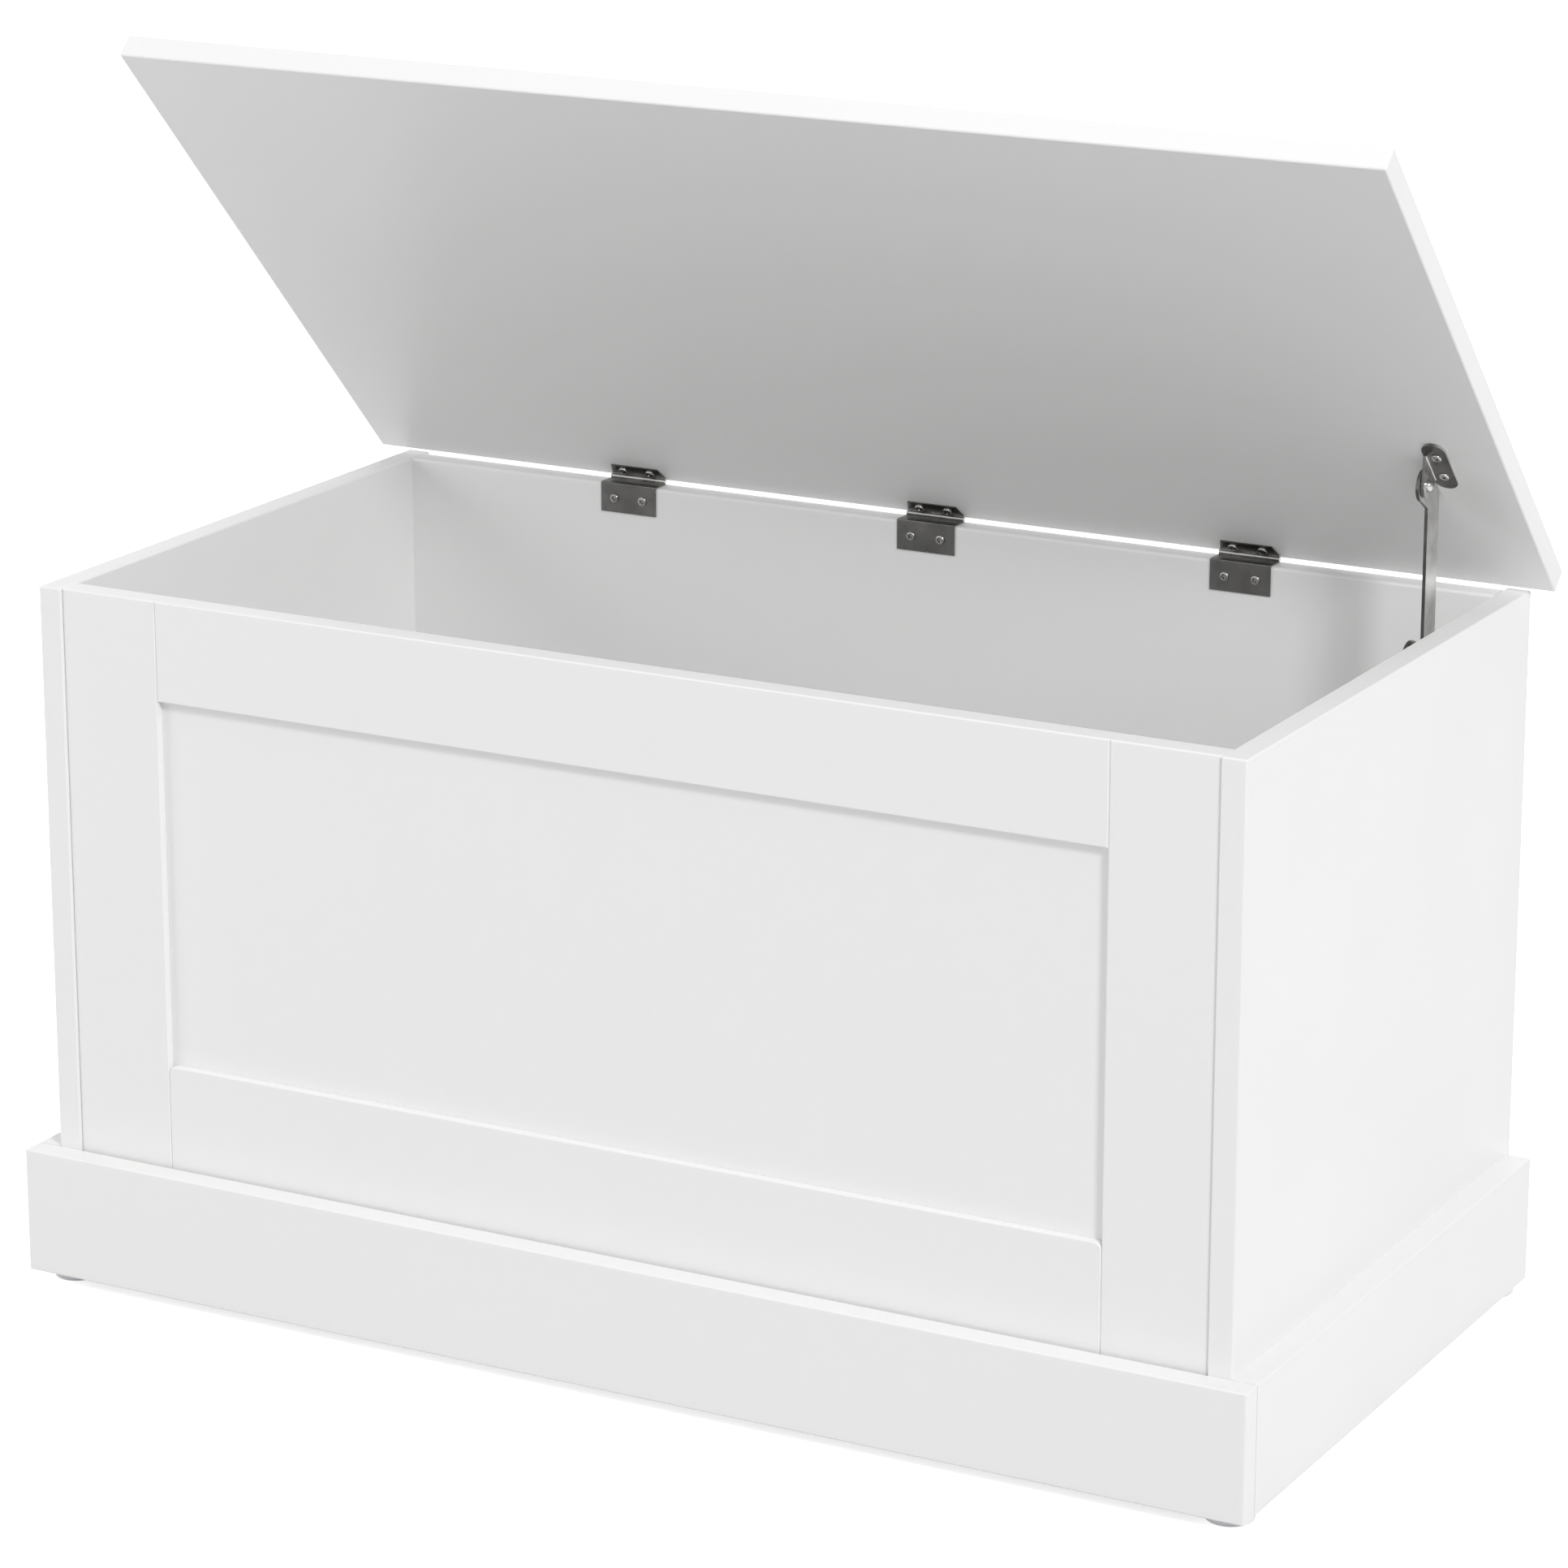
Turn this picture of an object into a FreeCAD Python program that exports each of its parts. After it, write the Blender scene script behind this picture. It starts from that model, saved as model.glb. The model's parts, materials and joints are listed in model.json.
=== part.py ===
import FreeCAD, Part
import math
import os
import re
import Sketcher

# White toy chest: panels between two sides, a framed front, a plinth on four glides and a lid that hangs
# on three hinges and is held by one lever stay. X points right, Y back and Z up. The origin lies on the
# floor, halfway between the plinth's front and the open lid's rearmost edge. The lid and the stay stand
# in the open pose.

# Driving sizes in millimetres, angles in degrees
SIZES = {
    # panels, front frame and plinth
    "board": 15.0,
    "body_height": 422.0,
    "side_depth": 404.0,
    "plinth_width": 796.0,
    "plinth_height": 76.5,
    "plinth_rear_setback": 4.0,
    "frame_setback": 1.7,
    "back_recess": 6.0,
    "stile_width": 64.5,
    "top_rail_height": 60.0,
    "bottom_rail_height": 139.5,
    "panel_thickness": 6.0,
    "panel_recess": 5.0,
    "panel_tongue": 8.0,
    "groove_clearance": 0.1,
    "groove_end_gap": 0.5,
    "edge_round": 1.2,
    "frame_round": 1.1,
    "rail_corner_round": 4.5,
    "back_top_round": 2.0,
    "overrun": 2.0,
    # glides
    "foot_radius": 14.0,
    "foot_height": 7.2,
    "foot_round": 1.0,
    "foot_side_inset": 18.4,
    "foot_front_inset": 24.0,
    "foot_rear_inset": 11.4,
    "foot_nail_radius": 1.0,
    "foot_nail_length": 18.0,
    "foot_nail_seat": 4.0,
    # lid
    "lid_thickness": 15.0,
    "lid_side_overhang": 2.0,
    "lid_front_overhang": 2.55,
    "lid_rear_overhang": 1.45,
    "lid_angle": 46.35,
    # hinges
    "hinge_spacing": 208.5,
    "hinge_width": 39.0,
    "axis_inset": 2.0,
    "leaf_thickness": 0.8,
    "leaf_bend_round": 0.6,
    "knuckle_radius": 1.5,
    "knuckle_clearance": 0.3,
    "knuckle_gap": 0.2,
    "pin_radius": 0.65,
    "pin_clearance": 0.05,
    "body_leaf_drop": 18.0,
    "body_leaf_screw_spacing": 20.0,
    "body_leaf_screw_drop": 9.0,
    "lid_leaf_reach": 10.5,
    "lid_leaf_taper": 3.0,
    "lid_leaf_screw_spacing": 19.0,
    "lid_leaf_screw_reach": 5.5,
    # small screws of the hinges and the stay
    "screw_radius": 1.5,
    "screw_length": 11.0,
    "screw_head_radius": 3.0,
    "screw_head_height": 1.4,
    "screw_head_top_radius": 2.0,
    "screw_clearance": 0.05,
    # stay: layers counted from the right side's inner face
    "base_plate_thickness": 2.0,
    "ear_inset": 15.6,
    "ear_thickness": 1.6,
    "link_thickness": 2.0,
    "lever_thickness": 2.0,
    "stay_gap": 0.3,
    # stay: pivots, counted from the hinge line or from the lid's underside
    "stay_pivot_reach": 22.5,
    "stay_pivot_drop": 99.0,
    "knee_reach": 97.0,
    "knee_drop": 23.5,
    "ear_pivot_reach": 113.74,
    "ear_pivot_drop": 10.63,
    # stay: plates
    "link_width": 16.4,
    "link_front_reach": 79.4,
    "link_head_radius": 9.5,
    "link_knee_radius": 12.0,
    "link_head_jog": 8.0,
    "link_knee_jog": 5.6,
    "link_web_angle": 10.0,
    "lever_pivot_radius": 8.0,
    "lever_knee_radius": 11.0,
    "ear_radius": 7.0,
    "ear_fold_start": 107.0,
    "ear_fold_end": 132.0,
    "flange_start": 99.6,
    "flange_length": 42.0,
    "flange_side_gap": 1.0,
    "flange_round": 7.0,
    "flange_bend_round": 1.0,
    "flange_screw_reach": 111.7,
    "flange_screw_spacing": 18.0,
    "flange_screw_inset": 7.6,
    "base_plate_depth": 44.0,
    "base_plate_height": 64.0,
    "base_plate_rear_gap": 1.0,
    "base_plate_round": 6.0,
    "base_screw_margin": 8.0,
    "hub_radius": 8.0,
    # stay: rivets
    "pivot_rivet_radius": 3.0,
    "rivet_radius": 2.5,
    "rivet_head_radius": 4.5,
    "rivet_head_height": 1.2,
    "ear_head_radius": 3.6,
    "ear_head_height": 3.2,
    "knee_head_radius": 6.0,
    "knee_clearance": 1.1,
    # joinery
    "joint_clearance": 0.05,
    "cam_radius": 7.5,
    "cam_depth": 12.0,
    "cam_inset": 24.0,
    "bolt_radius": 3.0,
    "bolt_side_depth": 10.0,
    "dowel_radius": 4.0,
    "dowel_side_depth": 10.0,
    "dowel_panel_depth": 20.0,
    "rail_dowel_radius": 3.0,
    "rail_dowel_depth": 15.0,
    "plinth_screw_radius": 2.0,
    "plinth_screw_length": 25.0,
    "plinth_screw_head_radius": 3.6,
    "plinth_screw_head_height": 2.4,
    "plinth_screw_height": 30.0,
}

# How near an edge lies to a side of its board, as a share of the board's diagonal, to count as on it
TOUCH_SHARE = 1e-6

# Where fasteners sit along the piece that carries them
CAM_SHARES = (0.22, 0.82)
DOWEL_SHARES = (0.08, 0.62)
BOTTOM_CAM_SHARES = (0.2, 0.8)
BOTTOM_DOWEL_SHARES = (0.1, 0.5)
TOP_RAIL_DOWEL_SHARES = (0.35, 0.8)
BOTTOM_RAIL_DOWEL_SHARES = (0.3, 0.75)
PLINTH_SIDE_SCREW_SHARES = (0.12, 0.5, 0.88)
PLINTH_FRONT_SCREW_SHARES = (-0.9, -0.3, 0.3, 0.9)

# Places that follow from the sizes
PLACES = {
    "base": "foot_height",
    "top": "base + body_height",
    "outer_half": "plinth_width / 2 - board",
    "inner_half": "outer_half - board",
    "opening_half": "inner_half - stile_width",
    "axis_rise": "knuckle_radius + knuckle_clearance",
    "lid_rear_reach": "(lid_rear_overhang - edge_round) * cos(lid_angle)"
                      " + (axis_rise + lid_thickness - edge_round) * sin(lid_angle) + edge_round",
    "front": "-(board + side_depth - back_recess - axis_inset + lid_rear_reach) / 2",
    "side_front": "front + board",
    "plinth_side_length": "side_depth - plinth_rear_setback",
    "plinth_rear": "side_front + plinth_side_length",
    "frame_front": "side_front + frame_setback",
    "frame_rear": "frame_front + board",
    "side_rear": "side_front + side_depth",
    "back_rear": "side_rear - back_recess",
    "back_front": "back_rear - board",
    "bottom_depth": "back_front - frame_rear",
    "floor_low": "base + plinth_height - board",
    "top_rail_low": "top - top_rail_height",
    "bottom_rail_high": "base + bottom_rail_height",
    "groove_depth": "panel_tongue + groove_end_gap",
    "groove_width": "panel_thickness + 2 * groove_clearance",
    "groove_front": "frame_front + panel_recess - groove_clearance",
    "groove_low": "bottom_rail_high - groove_depth",
    "groove_height": "top_rail_low - bottom_rail_high + 2 * groove_depth",
    "axis_back": "back_rear - axis_inset",
    "axis_high": "top + axis_rise",
    "lid_width": "plinth_width + 2 * lid_side_overhang",
    "lid_depth": "axis_back - side_front + lid_rear_overhang + lid_front_overhang",
    "leaf_top_reach": "board - axis_inset",
    "knuckle_length": "hinge_width / 5",
    "ear_side": "inner_half - ear_inset",
    "link_side": "ear_side - stay_gap - link_thickness",
    "hub_length": "ear_inset - lever_thickness - stay_gap - base_plate_thickness",
    "ear_pivot_low": "axis_rise - ear_pivot_drop",
    "stay_pivot_back": "axis_back - stay_pivot_reach",
    "stay_pivot_high": "axis_high - stay_pivot_drop",
    "knee_back": "axis_back - knee_reach",
    "knee_high": "axis_high - knee_drop",
    "base_plate_back": "back_front - base_plate_rear_gap - base_plate_depth",
    "base_plate_low": "stay_pivot_high - base_plate_height / 2",
}

LID_FRAME = "placement(vector(0; axis_back; axis_high); rotation(vector(1; 0; 0); -lid_angle))"
TURNS = {
    "+z": "vector(0; 0; 1); 0",
    "-z": "vector(1; 0; 0); 180",
    "+x": "vector(0; 1; 0); 90",
    "-x": "vector(0; 1; 0); -90",
    "+y": "vector(1; 0; 0); -90",
    "-y": "vector(1; 0; 0); 90",
    "upright": "vector(1; 0; 0); lid_angle",
}

doc = FreeCAD.newDocument("ToyChest")
sheet = doc.addObject("Spreadsheet::Sheet", "Sizes")
for row, (alias, value) in enumerate(SIZES.items(), 1):
    sheet.set(f"A{row}", alias)
    sheet.set(f"B{row}", str(value))
    sheet.setAlias(f"B{row}", alias)
doc.recompute()

nodes = []


def size(alias):
    """A driving size as a number."""
    return float(getattr(sheet, alias))


def bound(text):
    """The expression with its places opened up and its sizes read from the sheet."""
    opened = ""
    while opened != text:
        opened = text
        text = re.sub(r"[a-z_]+", lambda word: f"({PLACES[word[0]]})" if word[0] in PLACES else word[0], text)
    return re.sub(r"[a-z_]+", lambda word: f"Sizes.{word[0]}" if word[0] in SIZES else word[0], text)


def place(piece, x, y, z, turn="+z", on_lid=False):
    """Stand a piece at a point, in the chest's frame or in the lid's frame along the hinge line."""
    spot = f"placement(vector({x}; {y}; {z}); rotation({TURNS[turn]}))"
    piece.setExpression("Placement", bound(f"{LID_FRAME} * {spot}" if on_lid else spot))
    return piece


def node(piece, label):
    """Name a finished sub-part."""
    piece.Label = label
    nodes.append(piece)
    return piece


def rod(radius, length, x, y, z, turn="+z", on_lid=False):
    """A round rod, or the drill for a round hole."""
    piece = doc.addObject("Part::Cylinder", "Rod")
    piece.setExpression("Radius", bound(radius))
    piece.setExpression("Height", bound(length))
    return place(piece, x, y, z, turn, on_lid)


def cone(radius, end_radius, length, x, y, z, turn="+z", on_lid=False):
    """A round taper, such as a screw's head."""
    piece = doc.addObject("Part::Cone", "Taper")
    piece.setExpression("Radius1", bound(radius))
    piece.setExpression("Radius2", bound(end_radius))
    piece.setExpression("Height", bound(length))
    return place(piece, x, y, z, turn, on_lid)


def block(wide, deep, high, x, y, z, on_lid=False):
    """A plain block, mostly for a groove or a notch."""
    piece = doc.addObject("Part::Box", "Block")
    piece.setExpression("Length", bound(wide))
    piece.setExpression("Width", bound(deep))
    piece.setExpression("Height", bound(high))
    return place(piece, x, y, z, "+z", on_lid)


def joined(pieces):
    """One solid out of pieces that meet."""
    fusion = doc.addObject("Part::MultiFuse", "Joined")
    fusion.Shapes = pieces
    fusion.Refine = True
    return fusion


def group(pieces, label):
    """Identical fasteners that share one node."""
    compound = doc.addObject("Part::Compound", "Group")
    compound.Links = pieces
    return node(compound, label)


def cut(piece, tools):
    """A piece with holes, grooves or notches taken out."""
    result = doc.addObject("Part::Cut", "Machined")
    result.Base = piece
    result.Tool = tools[0] if len(tools) == 1 else group_of_tools(tools)
    return result


def group_of_tools(tools):
    """Several cutting shapes as one."""
    compound = doc.addObject("Part::Compound", "Tools")
    compound.Links = tools
    return compound


def flat_sketch(body, name):
    """A sketch on the body's own ground plane."""
    plane = next(item for item in body.Origin.OriginFeatures if item.Role == "XY_Plane")
    sketch = body.newObject("Sketcher::SketchObject", name)
    sketch.AttachmentSupport = [(plane, "")]
    sketch.MapMode = "FlatFace"
    return sketch


def hold(sketch, kind, spot, name, expression):
    """A named dimension of a sketch, bound to the sheet."""
    index = sketch.addConstraint(Sketcher.Constraint(kind, *spot, 1.0))
    sketch.renameConstraint(index, name)
    sketch.setExpression(f"Constraints.{name}", bound(expression))


def outline(sketch, corners):
    """A closed outline of straight lines; the first corner lies on the sketch's origin."""
    count = len(corners)
    start = [FreeCAD.Vector(math.cos(math.tau * step / count), math.sin(math.tau * step / count), 0)
             for step in range(count)]
    for step in range(count):
        sketch.addGeometry(Part.LineSegment(start[step], start[(step + 1) % count]), False)
    for step in range(count):
        sketch.addConstraint(Sketcher.Constraint("Coincident", step, 2, (step + 1) % count, 1))
    sketch.addConstraint(Sketcher.Constraint("Coincident", 0, 1, -1, 1))
    for step, (across, along) in enumerate(corners):
        if step == 0:
            continue
        for kind, expression in (("DistanceX", across), ("DistanceY", along)):
            if expression == "0":
                flush = "Vertical" if kind == "DistanceX" else "Horizontal"
                sketch.addConstraint(Sketcher.Constraint(flush, -1, 1, step, 1))
            else:
                hold(sketch, kind, (-1, 1, step, 1), f"corner_{step}_{kind.lower()}", expression)


def edges_where(shape, sides):
    """Names of the box edges where two named sides meet."""
    box = shape.BoundBox
    tiny = box.DiagonalLength * TOUCH_SHARE
    reach = {
        "left": lambda edge: edge.XMax - box.XMin < tiny,
        "right": lambda edge: box.XMax - edge.XMin < tiny,
        "front": lambda edge: edge.YMax - box.YMin < tiny,
        "rear": lambda edge: box.YMax - edge.YMin < tiny,
        "low": lambda edge: edge.ZMax - box.ZMin < tiny,
        "high": lambda edge: box.ZMax - edge.ZMin < tiny,
    }
    found = []
    for number, edge in enumerate(shape.Edges, 1):
        touching = {side for side, test in reach.items() if test(edge.BoundBox)}
        if any(touching == set(pair.split()) for pair in sides):
            found.append(f"Edge{number}")
    return found


def board(name, extent, spot, rounds=(), on_lid=False, corners=None):
    """A board padded from its outline, with rounded edges, standing at its low left front corner."""
    wide, deep, high = extent
    body = doc.addObject("PartDesign::Body", name)
    sketch = flat_sketch(body, f"{name}_outline")
    outline(sketch, corners or (("0", "0"), (wide, "0"), (wide, deep), ("0", deep)))
    pad = body.newObject("PartDesign::Pad", f"{name}_pad")
    pad.Profile = sketch
    pad.setExpression("Length", bound(high))
    sketch.Visibility = False
    doc.recompute()
    last = pad
    for step, (radius, sides) in enumerate(rounds):
        names = edges_where(last.Shape, sides)
        rounding = body.newObject("PartDesign::Fillet", f"{name}_round_{step}")
        rounding.Base = (last, names)
        rounding.setExpression("Radius", bound(radius))
        doc.recompute()
        last = rounding
    return place(body, *spot, on_lid=on_lid)


def screw(x, y, z, turn, on_lid=False):
    """A pan-head screw whose head seats at the point and whose shank follows the turn."""
    away = {"+y": "-y", "+z": "-z", "+x": "-x"}[turn]
    head = cone("screw_head_radius", "screw_head_top_radius", "screw_head_height", x, y, z, away, on_lid)
    shank = rod("screw_radius", "screw_length", x, y, z, turn, on_lid)
    return joined([head, shank])


def screw_hole(x, y, z, turn, on_lid=False):
    """The hole of such a screw, cut from just before the head's seat."""
    starts = {
        "+x": (f"{x} - overrun", y, z),
        "+y": (x, f"{y} - overrun", z),
        "+z": (x, y, f"{z} - overrun"),
    }
    deep = "screw_length + screw_clearance + overrun"
    return rod("screw_radius + screw_clearance", deep, *starts[turn], turn, on_lid)


# Joinery: each fastener and the holes that take it come from the same places
back_middle = "back_rear - board / 2"
frame_middle = "frame_rear - board / 2"
floor_middle = "floor_low + board / 2"
cams, bolts, dowels, rail_dowels, plinth_screws = [], [], [], [], []
drills = {name: [] for name in (
    "left_side_panel", "right_side_panel", "back_panel", "bottom_panel",
    "front_left_stile", "front_right_stile", "front_top_rail", "front_bottom_rail",
    "plinth_front_board", "plinth_left_board", "plinth_right_board")}
for sign, side in ((-1, "left"), (1, "right")):
    outward = "+x" if sign > 0 else "-x"
    stile = f"front_{side}_stile"
    side_panel = f"{side}_side_panel"
    face = f"{sign} * (inner_half)"
    cam_x = f"{sign} * (inner_half - cam_inset)"
    bolt_x = f"{sign} * (inner_half - cam_inset + cam_radius)"
    dowel_x = f"{sign} * (inner_half - dowel_panel_depth)"
    spots = []
    for share in CAM_SHARES:
        height = f"base + {share} * body_height"
        spots.append(("back_panel", back_middle, height, ("back_rear", height, "-y")))
        spots.append((stile, frame_middle, height, ("frame_rear", height, "-y")))
    for share in BOTTOM_CAM_SHARES:
        depth = f"frame_rear + {share} * (bottom_depth)"
        spots.append(("bottom_panel", depth, floor_middle, (depth, "floor_low", "+z")))
    for panel, depth, height, (cam_y, cam_z, inward) in spots:
        cams.append(rod("cam_radius - joint_clearance", "cam_depth", cam_x, cam_y, cam_z, inward))
        drills[panel].append(rod("cam_radius", "cam_depth + joint_clearance", cam_x, cam_y, cam_z, inward))
        length = "cam_inset - cam_radius + bolt_side_depth"
        bolts.append(rod("bolt_radius", length, bolt_x, depth, height, outward))
        hole = "cam_inset + bolt_side_depth + joint_clearance"
        for piece in (panel, side_panel):
            drills[piece].append(rod("bolt_radius + joint_clearance", hole, cam_x, depth, height, outward))
    spots = []
    for share in DOWEL_SHARES:
        height = f"base + {share} * body_height"
        spots.append(("back_panel", back_middle, height))
        spots.append((stile, frame_middle, height))
    for share in BOTTOM_DOWEL_SHARES:
        spots.append(("bottom_panel", f"frame_rear + {share} * (bottom_depth)", floor_middle))
    for panel, depth, height in spots:
        length = "dowel_panel_depth + dowel_side_depth"
        dowels.append(rod("dowel_radius", length, dowel_x, depth, height, outward))
        start = f"{sign} * (inner_half - dowel_panel_depth - joint_clearance)"
        hole = f"{length} + 2 * joint_clearance"
        for piece in (panel, side_panel):
            drills[piece].append(rod("dowel_radius + joint_clearance", hole, start, depth, height, outward))
    spots = []
    for share in TOP_RAIL_DOWEL_SHARES:
        spots.append(("front_top_rail", f"top_rail_low + {share} * top_rail_height"))
    for share in BOTTOM_RAIL_DOWEL_SHARES:
        spots.append(("front_bottom_rail", f"base + {share} * bottom_rail_height"))
    for rail, height in spots:
        start = f"{sign} * (opening_half - rail_dowel_depth)"
        rail_dowels.append(
            rod("rail_dowel_radius", "2 * rail_dowel_depth", start, frame_middle, height, outward))
        start = f"{sign} * (opening_half - rail_dowel_depth - joint_clearance)"
        hole = "2 * (rail_dowel_depth + joint_clearance)"
        for piece in (rail, stile):
            drills[piece].append(
                rod("rail_dowel_radius + joint_clearance", hole, start, frame_middle, height, outward))
    for share in PLINTH_SIDE_SCREW_SHARES:
        depth = f"side_front + {share} * (plinth_side_length)"
        plinth_screws.append((face, depth, outward, (side_panel, f"plinth_{side}_board")))
for share in PLINTH_FRONT_SCREW_SHARES:
    across = f"{share} * (opening_half)"
    plinth_screws.append((across, "frame_rear", "-y", ("front_bottom_rail", "plinth_front_board")))
countersunk = []
for across, depth, turn, pieces in plinth_screws:
    height = "base + plinth_screw_height"
    head = cone("plinth_screw_head_radius", "plinth_screw_radius", "plinth_screw_head_height",
                across, depth, height, turn)
    shank = rod("plinth_screw_radius", "plinth_screw_length", across, depth, height, turn)
    countersunk.append(joined([head, shank]))
    sink = cone("plinth_screw_head_radius + joint_clearance", "plinth_screw_radius + joint_clearance",
                "plinth_screw_head_height + joint_clearance", across, depth, height, turn)
    hole = rod("plinth_screw_radius + joint_clearance", "plinth_screw_length + joint_clearance",
               across, depth, height, turn)
    drills[pieces[0]] += [sink, hole]
    drills[pieces[1]].append(
        rod("plinth_screw_radius + joint_clearance", "plinth_screw_length + joint_clearance",
            across, depth, height, turn))
group(cams, "cam_locks")
group(bolts, "cam_bolts")
group(dowels, "panel_dowels")
group(rail_dowels, "frame_dowels")
group(countersunk, "plinth_screws")

# Glides with a nail each, under the front and rear corners
nails = []
for row_name, foot_y in (("front", "front + foot_front_inset"), ("rear", "plinth_rear - foot_rear_inset")):
    for sign, side in ((-1, "left"), (1, "right")):
        foot_x = f"{sign} * (plinth_width / 2 - foot_side_inset)"
        body = doc.addObject("PartDesign::Body", f"{row_name}_{side}_glide")
        sketch = flat_sketch(body, f"{row_name}_{side}_glide_outline")
        sketch.addGeometry(Part.Circle(), False)
        sketch.addConstraint(Sketcher.Constraint("Coincident", 0, 3, -1, 1))
        hold(sketch, "Radius", (0,), "rim", "foot_radius")
        pad = body.newObject("PartDesign::Pad", f"{row_name}_{side}_glide_pad")
        pad.Profile = sketch
        pad.setExpression("Length", bound("foot_height"))
        doc.recompute()
        rim = next(f"Edge{number}" for number, edge in enumerate(pad.Shape.Edges, 1)
                   if edge.BoundBox.ZMax <= pad.Shape.BoundBox.Center.z)
        rounding = body.newObject("PartDesign::Fillet", f"{row_name}_{side}_glide_round")
        rounding.Base = (pad, [rim])
        rounding.setExpression("Radius", bound("foot_round"))
        place(body, foot_x, foot_y, "0")
        nails.append(
            rod("foot_nail_radius", "foot_nail_length", foot_x, foot_y, "foot_height - foot_nail_seat"))
        hole = "foot_nail_length + 2 * joint_clearance"
        start = "foot_height - foot_nail_seat - joint_clearance"
        drill = rod("foot_nail_radius + joint_clearance", hole, foot_x, foot_y, start)
        node(cut(body, [drill]), f"{row_name}_{side}_foot")
        drills[f"{side}_side_panel"].append(
            rod("foot_nail_radius + joint_clearance", hole, foot_x, foot_y, start))
group(nails, "foot_nails")

# Hinge places along the hinge line
HINGES = (("left", "-hinge_spacing"), ("centre", "0"), ("right", "hinge_spacing"))
body_screws, lid_screws, lid_drills = [], [], []
for side, hinge_x in HINGES:
    for sign in (-1, 1):
        across = f"{hinge_x} + {sign} * body_leaf_screw_spacing / 2"
        height = "top - body_leaf_screw_drop"
        body_screws.append(screw(across, "back_front - leaf_thickness", height, "+y"))
        drills["back_panel"].append(screw_hole(across, "back_front - leaf_thickness", height, "+y"))
        across = f"{hinge_x} + {sign} * lid_leaf_screw_spacing / 2"
        spot = (across, "-lid_leaf_screw_reach", "axis_rise - leaf_thickness", "+z", True)
        lid_screws.append(screw(*spot))
        lid_drills.append(screw_hole(*spot))
group(body_screws, "hinge_body_screws")
group(lid_screws, "hinge_lid_screws")

# Screws of the stay's base plate and lid bracket
base_screws, base_drills, side_drills = [], [], []
for along in ("base_screw_margin", "base_plate_depth - base_screw_margin"):
    for height in ("base_screw_margin", "base_plate_height - base_screw_margin"):
        spot = ("inner_half - base_plate_thickness",
                f"base_plate_back + {along}", f"base_plate_low + {height}", "+x")
        base_screws.append(screw(*spot))
        base_drills.append(screw_hole(*spot))
        side_drills.append(screw_hole(*spot))
group(base_screws, "stay_base_screws")
drills["right_side_panel"] += side_drills
bracket_screws, bracket_drills = [], []
for step in (0, 1):
    along = f"-(flange_screw_reach + {step} * flange_screw_spacing)"
    spot = ("inner_half - flange_screw_inset", along, "axis_rise - ear_thickness", "+z", True)
    bracket_screws.append(screw(*spot))
    bracket_drills.append(screw_hole(*spot))
    lid_drills.append(screw_hole(*spot))
group(bracket_screws, "stay_bracket_screws")

# Side panels, back and bottom
for sign, side in ((-1, "left"), (1, "right")):
    name = f"{side}_side_panel"
    low_x = "inner_half" if sign > 0 else "-(outer_half)"
    panel = board(f"{side}_side_board", ("board", "side_depth", "body_height"), (low_x, "side_front", "base"),
                  [("edge_round", ("left high", "right high", "front high", "rear high", "left front",
                                   "right front", "left rear", "right rear"))])
    node(cut(panel, drills[name]), name)
back = board("back_board", ("2 * (inner_half)", "board", "body_height"),
             ("-(inner_half)", "back_front", "base"),
             [("back_top_round", ("front high",)), ("edge_round", ("rear high",))])
node(cut(back, drills["back_panel"]), "back_panel")
bottom = board("bottom_board", ("2 * (inner_half)", "bottom_depth", "board"),
               ("-(inner_half)", "frame_rear", "floor_low"))
node(cut(bottom, drills["bottom_panel"]), "bottom_panel")

# Front frame: grooved stiles and rails round a thin panel
for sign, side in ((-1, "left"), (1, "right")):
    name = f"front_{side}_stile"
    low_x = "opening_half" if sign > 0 else "-(inner_half)"
    stile = board(f"{side}_stile_board", ("stile_width", "board", "body_height"),
                  (low_x, "frame_front", "base"),
                  [("frame_round", ("left front", "right front", "front high", "rear high"))])
    groove_x = "opening_half - overrun" if sign > 0 else "-(opening_half + groove_depth)"
    groove = block("groove_depth + overrun", "groove_width", "groove_height",
                   groove_x, "groove_front", "groove_low")
    node(cut(stile, [groove] + drills[name]), name)
rail_width = "2 * (opening_half)"
groove_length = "2 * (opening_half + overrun)"
top_rail = board("top_rail_board", (rail_width, "board", "top_rail_height"),
                 ("-(opening_half)", "frame_front", "top_rail_low"),
                 [("frame_round", ("front low", "front high", "rear high", "left front", "right front"))])
groove = block(groove_length, "groove_width", "groove_depth + overrun",
               "-(opening_half + overrun)", "groove_front", "top_rail_low - overrun")
node(cut(top_rail, [groove] + drills["front_top_rail"]), "front_top_rail")
bottom_rail = board("bottom_rail_board", (rail_width, "board", "bottom_rail_height"),
                    ("-(opening_half)", "frame_front", "base"),
                    [("rail_corner_round", ("left high", "right high")),
                     ("frame_round", ("front high", "left front", "right front", "front"))])
groove = block(groove_length, "groove_width", "groove_depth + overrun",
               "-(opening_half + overrun)", "groove_front", "bottom_rail_high - groove_depth")
node(cut(bottom_rail, [groove] + drills["front_bottom_rail"]), "front_bottom_rail")
centre_extent = ("2 * (opening_half + panel_tongue)", "panel_thickness",
                 "top_rail_low - bottom_rail_high + 2 * panel_tongue")
centre_spot = ("-(opening_half + panel_tongue)", "frame_front + panel_recess",
               "bottom_rail_high - panel_tongue")
node(board("centre_panel", centre_extent, centre_spot), "front_centre_panel")

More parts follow.
